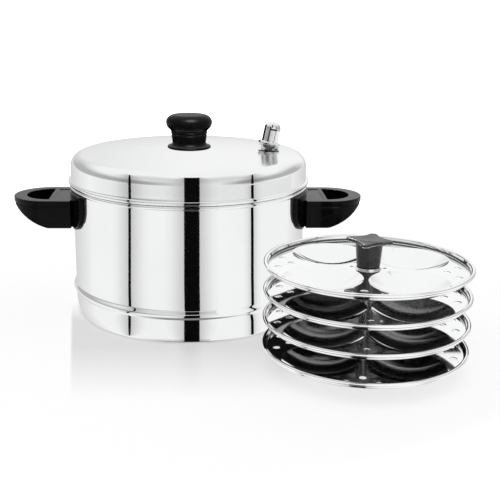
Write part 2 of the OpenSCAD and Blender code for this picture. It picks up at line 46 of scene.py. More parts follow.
# Sizes in millimetres, as part.scad has them
POT_R, POT_T = 115.0, 1.0
HEEL_R, HEEL_Z = 35.0, 18.0
RIM_C, RIM_R = (116.1, 129.9), 2.1
LID_T = 0.8
DOME_R, DOME_C, LAND_R = 1389.5, -1224.5, 23.0
SHOULDER_C, SHOULDER_R = (104.9, 149.0), 12.0
SKIRT_R, SKIRT_TOP, SKIRT_LOW = 116.9, 142.0, 137.2
FOLD_C, FOLD_R = (117.4, 134.4), 2.1
COLLAR_R, SEAT_Z, COLLAR_LOW = 113.4, 132.3, 124.3
VENT_R, VENT_ANGLE, VENT_LEAN = 80.8, 8.6, 8.2
STAND = (154.4221, -158.7957)
PLATE_T = 0.8
PLATE_Z = (88.6, 64.0, 39.4, 14.8)
PLATE_TURN = (-13.0, -7.0, -9.0, -11.0)
KNOB_Z = 89.9


# Shape helpers

def polar(r, degrees):
    return r * math.cos(math.radians(degrees)), r * math.sin(math.radians(degrees))


def arc(cx, cy, r, a, b, n):
    """Points along an arc round (cx, cy) from angle a to b, in degrees."""
    ts = [math.radians(a + (b - a) * i / n) for i in range(n + 1)]
    return [(cx + r * math.cos(t), cy + r * math.sin(t)) for t in ts]


def curve3(p0, p1, p2, n):
    """Points along a quadratic curve, without its first one."""
    ts = [(i + 1) / n for i in range(n)]
    return [tuple((1 - t) ** 2 * a + 2 * t * (1 - t) * b + t * t * c
                  for a, b, c in zip(p0, p1, p2)) for t in ts]


def parallel(path, d):
    """A line at distance d on the left of a path, with mitred corners."""
    out = []
    last = len(path) - 1
    for i, p in enumerate(path):
        a = Vector(path[max(i, 1)]) - Vector(path[max(i, 1) - 1])
        b = Vector(path[min(i, last - 1) + 1]) - Vector(path[min(i, last - 1)])
        na = Vector((-a.y, a.x)).normalized()
        nb = Vector((-b.y, b.x)).normalized()
        m = (na + nb).normalized()
        q = Vector(p) + m * (d / m.dot(nb))
        out.append((q.x, q.y))
    return out


def sheet(path, t):
    return path + parallel(path, t)[::-1]


def spin(bm, profile, n, closed=True, at=Matrix.Identity(4)):
    """Adds the surface of a profile of (radius, height) points spun round Z."""
    rings = []
    for r, z in profile:
        if abs(r) < 1e-6:
            rings.append([bm.verts.new(at @ Vector((0, 0, z)))])
        else:
            rings.append([bm.verts.new(at @ Vector((r * math.cos(2 * math.pi * k / n),
                                                    r * math.sin(2 * math.pi * k / n), z)))
                          for k in range(n)])
    pairs = list(zip(rings, rings[1:]))
    if closed:
        pairs.append((rings[-1], rings[0]))
    for low, high in pairs:
        for k in range(n):
            quad = [low[k % len(low)], low[(k + 1) % len(low)],
                    high[(k + 1) % len(high)], high[k % len(high)]]
            corners = list(dict.fromkeys(quad))
            if len(corners) > 2:
                bm.faces.new(corners)


def finish_mesh(name, bm, angle=SMOOTH_ANGLE, recalc=True):
    """Turns a bmesh in millimetres into a smooth-shaded object in metres."""
    if recalc:
        bmesh.ops.recalc_face_normals(bm, faces=bm.faces)
    bmesh.ops.scale(bm, vec=(MM, MM, MM), verts=bm.verts)
    mesh = bpy.data.meshes.new(name)
    bm.to_mesh(mesh)
    bm.free()
    mesh.polygons.foreach_set("use_smooth", [True] * len(mesh.polygons))
    mesh.set_sharp_from_angle(angle=angle)
    obj = bpy.data.objects.new(name, mesh)
    bpy.context.scene.collection.objects.link(obj)
    return obj


def lathe(name, profile, n=256, at=Matrix.Identity(4), angle=SMOOTH_ANGLE):
    bm = bmesh.new()
    spin(bm, profile, n, at=at)
    return finish_mesh(name, bm, angle)


# Materials

class Nodes:
    """A node tree that is built up one node at a time."""

    def __init__(self, tree):
        self.tree = tree

    def add(self, kind, **inputs):
        node = self.tree.nodes.new(kind)
        for key, value in inputs.items():
            self.feed(node, key.replace("_", " "), value)
        return node

    def feed(self, node, socket, value):
        if isinstance(value, bpy.types.NodeSocket):
            self.tree.links.new(value, node.inputs[socket])
        else:
            node.inputs[socket].default_value = value

    def math(self, op, a, b=0.0):
        node = self.tree.nodes.new("ShaderNodeMath")
        node.operation = op
        self.feed(node, 0, a)
        self.feed(node, 1, b)
        return node.outputs[0]

    def span(self, value, first, last, low, high):
        """Carries a value from the range first to last into the range low to high."""
        node = self.add("ShaderNodeMapRange", Value=value, From_Min=first, From_Max=last,
                        To_Min=low, To_Max=high)
        return node.outputs[0]

    def blend(self, share, first, second):
        """A share of the second shader over the first."""
        node = self.tree.nodes.new("ShaderNodeMixShader")
        for socket, value in enumerate((share, first, second)):
            self.feed(node, socket, value)
        return node.outputs[0]

    def axes(self, vector):
        node = self.add("ShaderNodeSeparateXYZ", Vector=vector)
        return [node.outputs[i] for i in range(3)]


class Shader(Nodes):
    """A node material."""

    def __init__(self, name):
        self.mat = bpy.data.materials.new(name)
        self.mat.use_nodes = True
        super().__init__(self.mat.node_tree)
        self.bsdf = self.tree.nodes["Principled BSDF"]

    def surface(self, shader):
        self.feed(self.tree.nodes["Material Output"], "Surface", shader)

    def place(self, centre=(0, 0, 0)):
        """Object coordinates in metres, counted from centre."""
        coord = self.add("ShaderNodeTexCoord")
        shift = self.add("ShaderNodeMapping", Vector=coord.outputs["Object"],
                         Location=tuple(-c for c in centre))
        return shift.outputs[0]

    def radius(self, x, y):
        return self.math("SQRT", self.math("ADD", self.math("MULTIPLY", x, x), self.math("MULTIPLY", y, y)))

    def round_about(self, centre, turns, fine):
        """Coordinates that run round an axis, so that noise draws out into spun lines."""
        x, y, z = self.axes(self.place(centre))
        around = self.math("ARCTAN2", y, x)
        radius = self.radius(x, y)
        both = self.add("ShaderNodeCombineXYZ")
        self.feed(both, 0, self.math("MULTIPLY", around, turns))
        self.feed(both, 1, self.math("MULTIPLY", radius, fine))
        self.feed(both, 2, self.math("MULTIPLY", z, fine))
        return both.outputs[0]

    def noise(self, where, scale, detail=3.0, low=0.0, high=1.0):
        noise = self.add("ShaderNodeTexNoise", Vector=where, Scale=scale, Detail=detail)
        return self.span(noise.outputs[0], 0.3, 0.7, low, high)

    def tint(self, factor, dark, light):
        mix = self.tree.nodes.new("ShaderNodeMix")
        mix.data_type = "RGBA"
        self.feed(mix, 0, factor)
        mix.inputs[6].default_value = (*dark, 1)
        mix.inputs[7].default_value = (*light, 1)
        return mix.outputs[2]

    def bump(self, height, strength, distance):
        bump = self.add("ShaderNodeBump", Height=height, Strength=strength, Distance=distance)
        self.feed(self.bsdf, "Normal", bump.outputs[0])


def polished(name, centre=(0, 0, 0), dark=0.86, light=0.9, rough=(0.03, 0.05), grain=0.05, satin=None):
    """Polished stainless sheet with a faint spun grain; satin: two heights between which it goes dull."""
    s = Shader(name)
    spun = s.round_about(centre, 3.0, 900.0)
    lines = s.noise(spun, 1.0, 2.0)
    cloud = s.noise(s.place(centre), 14.0)
    s.feed(s.bsdf, "Metallic", 1.0)
    s.feed(s.bsdf, "Base Color", s.tint(cloud, (dark, dark * 1.004, dark * 1.01),
                                        (light, light * 1.004, light * 1.008)))
    both = s.math("ADD", s.math("MULTIPLY", lines, 0.35), s.math("MULTIPLY", cloud, 0.65))
    dull = s.span(both, 0.0, 1.0, *rough)
    if satin:
        _, _, height = s.axes(s.place())
        dull = s.math("ADD", dull, s.span(height, satin[0] * MM, satin[1] * MM, 0.0, 0.13))
    s.feed(s.bsdf, "Roughness", dull)
    s.bump(lines, grain, 0.00002)
    return s.mat


def moulded(name, dark, light, rough, strength=0.12, spec=0.5):
    """Moulded plastic with a fine skin texture and slightly uneven gloss."""
    s = Shader(name)
    where = s.place()
    cloud = s.noise(where, 45.0, 4.0)
    s.feed(s.bsdf, "Base Color", s.tint(cloud, dark, light))
    s.feed(s.bsdf, "Roughness", s.noise(where, 120.0, 3.0, *rough))
    s.feed(s.bsdf, "Specular IOR Level", spec)
    s.bump(s.noise(where, 900.0, 2.0), strength, 0.00006)
    return s.mat


def plain_metal(name, dark, light, rough):
    s = Shader(name)
    cloud = s.noise(s.place(), 160.0)
    s.feed(s.bsdf, "Metallic", 1.0)
    s.feed(s.bsdf, "Base Color", s.tint(cloud, dark, light))
    s.feed(s.bsdf, "Roughness", s.noise(s.place(), 420.0, 2.0, *rough))
    s.bump(cloud, 0.05, 0.00002)
    return s.mat


stand_axis = (STAND[0] * MM, STAND[1] * MM, 0)
vent_foot = tuple(VENT_R * MM * turn(math.radians(VENT_ANGLE)) for turn in (math.cos, math.sin)) + (0,)
pot_steel = polished("pot_steel")
lid_steel = polished("lid_steel", satin=(158, 161.5))
plate_steel = polished("plate_steel", stand_axis, dark=0.9, light=0.94, rough=(0.04, 0.08))
# Painted shade: dark undersides, which the cups below mirror, and a dark crease inside the rolled edge
painted_shade_underside = polished("painted_shade_underside", stand_axis, dark=0.24, light=0.3, rough=(0.2, 0.3))
painted_shade_crease = polished("painted_shade_crease", stand_axis, dark=0.1, light=0.16, rough=(0.2, 0.3))
fitting_steel = polished("fitting_steel", vent_foot, rough=(0.05, 0.1), grain=0.02)
turned_steel = plain_metal("turned_steel", (0.42, 0.42, 0.43), (0.55, 0.55, 0.56), (0.18, 0.3))
# Near-white metal for the star knob's ledge: a painted highlight
painted_ledge_highlight = plain_metal("painted_ledge_highlight", (0.86, 0.86, 0.87), (0.9, 0.9, 0.91), (0.1, 0.2))
bush_brass = plain_metal("bush_brass", (0.55, 0.4, 0.16), (0.72, 0.54, 0.24), (0.2, 0.35))
blacks = ((0.0008, 0.0008, 0.0009), (0.002, 0.002, 0.0022))
black_bakelite = moulded("black_bakelite", *blacks, (0.16, 0.24), spec=0.09)
knob_bakelite = moulded("knob_bakelite", *blacks, (0.34, 0.4), strength=0.05, spec=0.07)
greys = ((0.018, 0.018, 0.019), (0.026, 0.026, 0.028))
grey_plastic = moulded("grey_plastic", *greys, (0.2, 0.3), spec=0.4)
gasket_silicone = moulded("gasket_silicone", (0.5, 0.51, 0.49), (0.6, 0.61, 0.58), (0.55, 0.7))


def dress(obj, material, body, slot, *nodes):
    """Gives a new piece its material and body, and hides the CAD nodes it stands for; slot is not used."""
    obj.data.materials.clear()
    obj.data.materials.append(material)
    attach(obj, body)
    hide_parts(*nodes)


def repaint(node, material):
    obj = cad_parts[node]
    if not obj.material_slots:
        obj.data.materials.append(material)
    for place in obj.material_slots:
        place.material = material


# Pot

def bead(z_mid, half, out, n):
    """A pressed bead in the wall: a rounded swell with soft edges."""
    points = []
    for i in range(n + 1):
        t = -1 + 2 * i / n
        swell = (0.5 + 0.5 * math.cos(math.pi * t)) ** 0.75
        points.append((POT_R + out * swell, z_mid + half * t))
    return points


def make_pot():
    corner_x, corner_r = 107.66, 4.0
    heel_end = math.degrees(math.atan2(corner_r - HEEL_Z, corner_x - POT_R + HEEL_R))
    outside = [(0, 0), (60, 0), (100, 0)]
    outside += arc(corner_x, corner_r, corner_r, -90, heel_end, 10)
    outside += arc(POT_R - HEEL_R, HEEL_Z, HEEL_R, heel_end * 0.97, 0, 22)
    outside += bead(29.0, 4.8, 2.5, 28)
    outside += [(POT_R, 60), (POT_R, 100)]
    outside += arc(*RIM_C, RIM_R - POT_T, 180, -122, 26)
    pot = lathe("pot_shell", sheet(outside, POT_T), 320)
    dress(pot, pot_steel, "pot", "polished_steel", "pot_body")


# Lid

def dome_height(r):
    return DOME_C + math.sqrt(DOME_R * DOME_R - r * r)


def make_lid():
    start = math.degrees(math.asin(LAND_R / DOME_R))
    stop = math.degrees(math.acos(SHOULDER_C[0] / (DOME_R - SHOULDER_R)))
    outside = [(0, dome_height(LAND_R)), (LAND_R - 1, dome_height(LAND_R))]
    outside += arc(0, DOME_C, DOME_R, 90 - start, stop, 40)
    outside += arc(*SHOULDER_C, SHOULDER_R, stop, 0, 26)[1:]
    outside += [(SKIRT_R, SKIRT_TOP), (SKIRT_R, SKIRT_LOW)]
    outside += arc(*FOLD_C, FOLD_R, 97, -90, 24)
    outside += [(COLLAR_R + 0.6, SEAT_Z)]
    outside += curve3((COLLAR_R + 0.6, SEAT_Z), (COLLAR_R, SEAT_Z), (COLLAR_R, SEAT_Z - 0.6), 4)
    outside += [(COLLAR_R, 128), (COLLAR_R, COLLAR_LOW)]
    lid = lathe("lid_dome", sheet(outside, -LID_T), 320)
    dress(lid, lid_steel, "lid", "polished_steel", "lid_shell")


def make_lid_knob():
    base = dome_height(LAND_R)
    foot_r, foot_round, neck_r, throat_r = 21.5, 1.4, 16.5, 18.5
    sweep = foot_r - foot_round - neck_r
    profile = [(0, 0), (12, 0)]
    profile += arc(foot_r - foot_round, foot_round, foot_round, -90, 80, 10)
    profile += arc(neck_r + sweep, 2 * foot_round + sweep, sweep, -92, -180, 14)
    neck_z, throat_z = 2 * foot_round + sweep, 18.4
    for k in range(1, 40):
        t = k / 40
        groove = sum(0.75 * math.exp(-((t - g) / 0.045) ** 2) for g in (0.62, 0.86))
        profile.append((neck_r + (throat_r - neck_r) * t - groove, neck_z + (throat_z - neck_z) * t))
    # The cap swells out of the throat and closes in a low dome.
    cap_r, cap_z, cap_top, crown = 22.75, 25.75, 33.1, 14.0
    low = -math.acos((throat_r - crown) / (cap_r - crown))
    for k in range(41):
        t = low + (math.pi / 2 - low) * k / 40
        rise = math.sin(t) * ((cap_z - throat_z) / math.sin(-low) if t < 0 else cap_top - cap_z)
        profile.append((crown + (cap_r - crown) * math.cos(t), cap_z + rise))
    profile += [(crown * (1 - k / 8), cap_top + 0.5 * (1 - (1 - k / 8) ** 2)) for k in range(1, 9)]
    knob = lathe("lid_knob_black", profile, 160, Matrix.Translation((0, 0, base)), math.radians(50))
    dress(knob, knob_bakelite, "lid", "bakelite", "lid_knob")
    for piece in (knob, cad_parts["knob_insert"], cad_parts["knob_screw"]):
        piece.visible_glossy = False


# Whistle and vent

vent_tilt = math.asin(VENT_R / DOME_R) + math.radians(VENT_LEAN)
vent_frame = (Matrix.Rotation(math.radians(VENT_ANGLE), 4, "Z")
              @ Matrix.Translation((VENT_R, 0, dome_height(VENT_R))) @ Matrix.Rotation(vent_tilt, 4, "Y"))


def make_whistle():
    low = 3.9
    body_r, height, top_round = 8.25, 23.5, 7.0
    profile = [(4.0, 11.6), (4.0, 0.0), (9.2, 0.0)]
    profile += arc(9.85, 1.4, 1.4, -90, 90, 12)
    profile += [(9.2, 2.8)]
    profile += curve3((9.2, 2.8), (body_r, 2.8), (body_r, 3.9), 6)
    profile += [(body_r, 12)]
    profile += arc(body_r - top_round, height - top_round, top_round, 0, 90, 18)
    profile += [(0, height), (0, 11.6)]
    place = vent_frame @ Matrix.Translation((0, 0, low))
    whistle = lathe("whistle_weight", profile, 96, place, math.radians(40))
    dress(whistle, fitting_steel, "whistle", "polished_steel", "whistle")


# Handles: the CAD solid with its edges rounded over

def make_handle(side):
    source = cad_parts["handle_" + side]
    obj = bpy.data.objects.new("handle_grip_" + side, source.data.copy())
    bpy.context.scene.collection.objects.link(obj)
    remesh = obj.modifiers.new("even", "REMESH")
    remesh.mode = "VOXEL"
    remesh.voxel_size = 0.00035
    soften = obj.modifiers.new("soften", "SMOOTH")
    soften.factor = 0.5
    soften.iterations = 8
    thin = obj.modifiers.new("thin", "DECIMATE")
    thin.ratio = 0.3
    bpy.context.view_layer.update()
    solid = obj.evaluated_get(bpy.context.evaluated_depsgraph_get())
    mesh = bpy.data.meshes.new_from_object(solid)
    obj.modifiers.clear()
    obj.data = mesh
    mesh.polygons.foreach_set("use_smooth", [True] * len(mesh.polygons))
    dress(obj, black_bakelite, "pot", "bakelite", "handle_" + side)


# Idli plates

CUP_RING, CUP_R, CUP_DEPTH, LIP_R = 50.6, 58.05, 11.0, 2.0
LIP_X = math.sqrt((CUP_R + LIP_R) ** 2 - (CUP_R - CUP_DEPTH + LIP_R) ** 2)
LIP_ANGLE = math.degrees(math.acos((CUP_R - CUP_DEPTH + LIP_R) / (CUP_R + LIP_R)))
FLAT_R = 85.5
HOLE_LIP = 0.5


def circle(cx, cy, r, n):
    corners = (polar(r, 360 * k / n) for k in range(n))
    return [(cx + x, cy + y) for x, y in corners]


def plate_holes():
    """(x, y, radius, sides) of every hole in the plate's flat."""
    holes = [(0, 0, 3.08, 32)]
    for a in (0, 90, 180, 270):
        holes.append((*polar(14.0, a), 1.5, 20))
        holes.append((*polar(66.5, a), 3.0, 32))
        holes.append((*polar(77.5, a - 10), 3.0, 32))
        holes.append((*polar(77.5, a + 10), 3.0, 32))
    return holes


def make_plate_mesh():
    bm = bmesh.new()
    holes = plate_holes()
    cups = [(*polar(CUP_RING, a), LIP_X + 0.5, 96) for a in (45, 135, 225, 315)]
    lips = [(cx, cy, r + HOLE_LIP, n) for cx, cy, r, n in holes]
    points, edges = [], []
    for cx, cy, r, n in [(0, 0, FLAT_R, 192)] + lips + cups:
        first = len(points)
        points += [Vector(p) for p in circle(cx, cy, r, n)]
        edges += [(first + k, first + (k + 1) % n) for k in range(n)]
    verts, _, faces, _, _, _ = delaunay_2d_cdt(points, edges, [], 1, 1e-6)
    for z in (0.0, -PLATE_T):
        layer = [bm.verts.new((p.x, p.y, z)) for p in verts]
        for face in faces:
            mid = sum((verts[i] for i in face), Vector((0, 0))) / len(face)
            if any((mid.x - cx) ** 2 + (mid.y - cy) ** 2 < r * r for cx, cy, r, _ in lips + cups):
                continue
            corners = [layer[i] for i in face]
            bm.faces.new(corners if z == 0 else corners[::-1])
    for cx, cy, r, n in holes:
        wall = curve3((r + HOLE_LIP, 0.0), (r, 0.0), (r, -HOLE_LIP), 5)
        wall = [(r + HOLE_LIP, 0.0)] + wall + [(r, -PLATE_T), (r + HOLE_LIP, -PLATE_T)]
        spin(bm, wall, n, closed=False, at=Matrix.Translation((cx, cy, 0)))
    # Rolled edge
    outside = [(FLAT_R, -PLATE_T)]
    outside += curve3((FLAT_R, -PLATE_T), (86.7, -PLATE_T), (86.85, 0.6), 8)
    outside += [(87.1, 2.0)]
    outside += arc(88.3, 3.7, 0.9, 180, -112, 22)
    spin(bm, sheet(outside, PLATE_T), 256)
    # Cups
    inside = arc(0, CUP_R - CUP_DEPTH, CUP_R, -90, -90 + LIP_ANGLE, 22)
    inside[0] = (0.0, -CUP_DEPTH)
    inside += arc(LIP_X, -LIP_R, LIP_R, 90 + LIP_ANGLE, 90, 10)[1:]
    inside += [(LIP_X + 0.5, 0.0)]
    under = parallel(inside, -PLATE_T)
    under[0] = (0.0, -CUP_DEPTH - PLATE_T)
    under[-1] = (LIP_X + 0.5, -PLATE_T)
    for cx, cy, _, _ in cups:
        centre = Matrix.Translation((cx, cy, 0))
        spin(bm, inside[::-1], 96, closed=False, at=centre)
        spin(bm, under, 96, closed=False, at=centre)
    return bm


def make_plates():
    base = make_plate_mesh()
    for i, (z, turn) in enumerate(zip(PLATE_Z, PLATE_TURN), 1):
        bm = base.copy()
        place = Matrix.Translation((*STAND, z)) @ Matrix.Rotation(math.radians(turn), 4, "Z")
        bmesh.ops.transform(bm, matrix=place, verts=bm.verts)
        plate = finish_mesh(f"idli_tray_{i}", bm, math.radians(40), recalc=False)
        dress(plate, plate_steel, f"plate_{i}", "polished_steel", f"idli_plate_{i}")
        # The underside is dull and painted dark, painted shade that the cups below mirror, and the crease
        # inside the rolled edge is painted shade.
        plate.data.materials.append(painted_shade_underside)
        plate.data.materials.append(painted_shade_crease)
        for face in plate.data.polygons:
            out = face.center.xy - Vector(stand_axis[:2])
            if face.normal.z < -0.3 and face.center.z < (z - PLATE_T / 2) * MM:
                face.material_index = 1
            elif out.length > (FLAT_R - 0.4) * MM and face.normal.xy.dot(out) < -0.5 * out.length:
                if (z + 0.3) * MM < face.center.z < (z + 2.4) * MM:
                    face.material_index = 2
    base.free()


# Star knob

def star_radius(angle, inset):
    """Distance from the middle to the star's outline in a direction, in degrees."""
    corner, half, waist, hollow = 20.0, 21.6, 12.8, 24.0
    a = math.radians(angle % 90)
    reach = min(corner - inset, (half - inset) / (math.cos(a) + math.sin(a)))
    far = waist - inset + hollow
    # Where the ray meets the hollow side's circle, whose middle lies at 45 degrees
    along = far * math.cos(a - math.pi / 4)
    off = far * math.sin(a - math.pi / 4)
    if abs(off) < hollow:
        reach = min(reach, along - math.sqrt(hollow * hollow - off * off))
    return reach


def make_star_knob():
    n, turn = 288, -22.0
    angles = [360 * k / n for k in range(n)]
    soft = {}
    for inset in (0.0, 0.6, 1.0):
        raw = [star_radius(a, inset) for a in angles]
        soft[inset] = [sum(raw[(k + j) % n] for j in range(-2, 3)) / 5 for k in range(n)]
    stem_h, ledge, high = 20.2, 1.1, 23.8

    def level(z, r=None, star=None, grow=0.0):
        return [(soft[star][k] + grow if r is None else r, z) for k in range(n)]

    levels = [level(0, 4.8), level(0, 9.5), level(0.5, 10.0)]
    levels += [level(stem_h * k / 6, 10.0 + 1.7 * k / 6) for k in range(1, 7)]
    levels += [level(stem_h + 0.05, star=1.0, grow=-0.4), level(stem_h + 0.4, star=1.0),
               level(stem_h + ledge, star=1.0), level(stem_h + ledge + 0.05, star=0.0, grow=-0.6),
               level(stem_h + ledge + 0.5, star=0.0), level(high - 0.7, star=0.0),
               level(high - 0.2, star=0.0, grow=-0.25), level(high, star=0.0, grow=-0.8)]
    dish_r, dish = 11.0, 0.8
    levels += [level(high, dish_r + 0.4), level(high - 0.1, dish_r - 0.2)]
    levels += [level(high - dish * (1 - t * t), (dish_r - 0.2) * t) for t in (0.85, 0.65, 0.45, 0.25, 0.1)]
    bm = bmesh.new()
    place = Matrix.Translation((*STAND, KNOB_Z)) @ Matrix.Rotation(math.radians(turn), 4, "Z")
    rings = [[bm.verts.new(place @ Vector((*polar(r, a), z))) for a, (r, z) in zip(angles, ring)]
             for ring in levels]
    for low, up in zip(rings, rings[1:]):
        for k in range(n):
            bm.faces.new([low[k], low[(k + 1) % n], up[(k + 1) % n], up[k]])
    bm.faces.new(rings[-1])
    # The bore that holds the bush
    bore = [(4.8, 0.0), (4.8, 16.0), (0.0, 16.0)]
    spin(bm, bore, 48, closed=False, at=place)
    knob = finish_mesh("star_knob_grey", bm, math.radians(35))
    dress(knob, grey_plastic, "knob", "grey_plastic", "star_knob")
    # The ledge under the star is near-white metal, a painted highlight along it.
    knob.data.materials.append(painted_ledge_highlight)
    for face in knob.data.polygons:
        drop = face.center.z / MM - KNOB_Z - stem_h
        if 0.1 < drop < ledge and abs(face.normal.z) < 0.5:
            face.material_index = 1


make_pot()
make_lid()
make_lid_knob()
make_whistle()
make_handle("left")
make_handle("right")
make_plates()
make_star_knob()

repaint("vent_stem", fitting_steel)
repaint("stand_foot", plate_steel)
repaint("top_washer", plate_steel)
for node in ("boss_left", "boss_right", "handle_washer_left", "handle_washer_right", "handle_screw_left",
             "handle_screw_right", "knob_washer", "knob_screw", "vent_nut", "stand_rod", "foot_spacer",
             "spacer_1", "spacer_2", "spacer_3"):
    repaint(node, turned_steel)
repaint("knob_insert", bush_brass)
repaint("knob_bush", bush_brass)
repaint("vent_gasket", gasket_silicone)


# Camera at the photograph's angle

def make_camera():
    target = Vector((62.01, 0, 58.69)) * MM
    rise, turn, roll = math.radians(16.0), math.radians(-3.5), math.radians(0.8)
    distance = 0.94091
    back = Vector((math.cos(rise) * math.sin(turn), -math.cos(rise) * math.cos(turn), math.sin(rise)))
    side = Vector((0, 0, 1)).cross(back).normalized()
    up = back.cross(side)
    right = side * math.cos(roll) + up * math.sin(roll)
    top = up * math.cos(roll) - side * math.sin(roll)
    camera = bpy.data.objects.new("camera", bpy.data.cameras.new("camera"))
    facing = Matrix((right, top, back)).transposed().to_4x4()
    camera.matrix_world = Matrix.Translation(target + back * distance) @ facing
    camera.data.lens = 65.69
    camera.data.sensor_width = 36.0
    camera.data.clip_start = 0.01
    bpy.context.scene.collection.objects.link(camera)
    bpy.context.scene.camera = camera
    return camera


# Studio: a white floor and surround, soft lamps, and dark flags that only reflections see

# Columns of the photograph, which is 500 pixels wide, at the edges of the three black bands
PICTURE = 500
BAND_EDGES = ((128.3, 131.0), (184.1, 199.7), (251.0, 253.7))
# Columns across the band on the right with the grey beside it, and how dark it is between them
CARD_EDGES = (243.0, 247.0, 251.0, 253.7, 257.7, 261.7)
CARD_SHADES = ((0, 0.08), (0.08, 0.3), (1, 1), (0.3, 0.08), (0.08, 0))
# How far from the pot's middle the tall flags stand
FLAG_R = 600
# From how far off the flags are seen: the stand is nearer to them than the pot and lid, which see them
# from POT_REACH on, and the upright wall sees its rows from less than WALL_REACH
POT_REACH, WALL_REACH, ALL_REACH = 478, 556, 4000
# The grey to each side of a flag: degrees from its edge, and how dark it is there
FLANK = ((0, 0.36), (6, 0.2), (12, 0.06), (18, 0.0))
# The veil that the lid's skirt and shoulder mirror: height and how dark it is there
VEIL = ((18, 0.0), (25, 0.14), (40, 0.14), (122, 0.1), (278, 0.12), (456, 0.2), (700, 0.28), (1200, 0.2),
        (2000, 0.0))
# How far round the veil reaches to each side, and over how many degrees it fades there
VEIL_END, VEIL_FADE = 95, 35
# The dark ground far below, which the pot's foot mirrors: distance from the middle and how dark it is
SOLE = ((1, 0.75), (350, 0.7), (600, 0.4), (900, 0.0))
SOLE_Z = -1500
# The card between the pot and the stand: how far out it stands, its ends and its heights
CARD_X, CARD_ENDS, CARD_HEIGHTS = 127.0, (-67, 60), (-100, 148)
# How far up the card's painted shade goes from just below each plate
PLATE_SHADES = (8, 9, 9, 24)
# A nearly black flag, as bright as it is seen
DARK = 0.003
# What the whistle mirrors: from, to, in degrees round the vent from -Y, from, to in height, how dark
STREAKS = (
    (-152, -88, 3, 25, 1.0), (-88, -68, 3, 25, 0.1), (-68, -43, 3, 25, 0.24), (-43, -27, 3, 25, 0.9),
    (-27, -8, 3, 18.6, 0.3), (-8, 12, 4, 18.6, 0.16), (12, 45, 4, 18.6, 0.06), (110, 150, 3, 25, 0.4),
    (-27, 35, 18.6, 20.6, 1.0), (35, 110, 18.6, 25, 0.45))
# The dark ring low round it, which the lid mirrors too
RING = ((-60, 35, -1, 3, 0.9),)
# How far from the vent's axis both stand, and from how far off they are seen
WHISTLE_FLAG_R, WHISTLE_REACH = 14.0, 10.5
# The pot's grey image painted on the floor, a painted reflection, in metres: how dark it is at the pot's
# foot, where its left and right edges and its front end fade, how much it spreads to each side as it runs
# forwards, and where the image of the widest band lies
PAINTED_FLOOR_IMAGE = 0.26
IMAGE_LEFT, IMAGE_RIGHT, IMAGE_END = (-0.1095, -0.1065), (0.085, 0.115), (0.07, 0.12)
SPREAD_LEFT, SPREAD_RIGHT = 0.124, 0.116
PAINTED_BAND_IMAGE = 0.0013


def make_floor():
    bm = bmesh.new()
    bmesh.ops.create_grid(bm, x_segments=4, y_segments=4, size=6000)
    floor = finish_mesh("floor", bm)
    floor.location.z = -0.0002
    s = Shader("floor_white")
    cloud = s.noise(s.place(), 3.0, 2.0)
    s.feed(s.bsdf, "Base Color", s.tint(cloud, (0.93, 0.93, 0.93), (0.94, 0.94, 0.94)))
    s.feed(s.bsdf, "Roughness", 0.9)
    s.feed(s.bsdf, "Specular IOR Level", 0.0)
    # Part of the floor's white is its own, and all of it far from the object, so that the
    # shadow stays pale and the floor runs into the white surround.
    x, y, _ = s.axes(s.place())
    out = s.radius(x, y)
    path = s.add("ShaderNodeLightPath")
    level = s.math("ADD", path.outputs["Is Camera Ray"], 1.0)
    glow = s.add("ShaderNodeEmission", Strength=level)
    pale = s.blend(s.span(out, 0.35, 0.8, 0.35, 1.0), s.bsdf.outputs[0], glow.outputs[0])
    # In front of the pot a soft grey image of it is painted on the floor, a painted reflection, which fades
    # out to both ends.
    past = s.math("ADD", y, POT_R * MM)
    left = s.math("ADD", x, s.math("MULTIPLY", past, SPREAD_LEFT))
    right = s.math("SUBTRACT", x, s.math("MULTIPLY", past, SPREAD_RIGHT))
    beside = s.math("MULTIPLY", s.span(left, *IMAGE_LEFT, 0, 1), s.span(right, *IMAGE_RIGHT, 1, 0))
    beside = s.math("MULTIPLY", beside, s.span(past, *IMAGE_END, 1, 0))
    # The painted image of the widest band runs down its middle, and a dark ring painted round the pot's
    # foot is a painted contact shadow.
    middle = s.math("ABSOLUTE", s.math("SUBTRACT", x, PAINTED_BAND_IMAGE))
    fade = s.math("MULTIPLY", s.span(past, -POT_R * MM, 0.0, 0.0, PAINTED_FLOOR_IMAGE),
                  s.span(middle, 0.003, 0.013, 1.3, 1))
    foot = s.span(out, 0.109, 0.118, 0.4, 0)
    # Black laid over the floor for the painted reflection and the painted contact shadow
    image = s.add("ShaderNodeEmission", Strength=0.0)
    seen = s.blend(s.math("MAXIMUM", s.math("MULTIPLY", beside, fade), foot), pale, image.outputs[0])
    # What the polished pieces mirror is the surround below the horizon, not the floor.
    clear = s.add("ShaderNodeBsdfTransparent")
    s.surface(s.blend(path.outputs["Is Glossy Ray"], seen, clear.outputs[0]))
    floor.data.materials.append(s.mat)


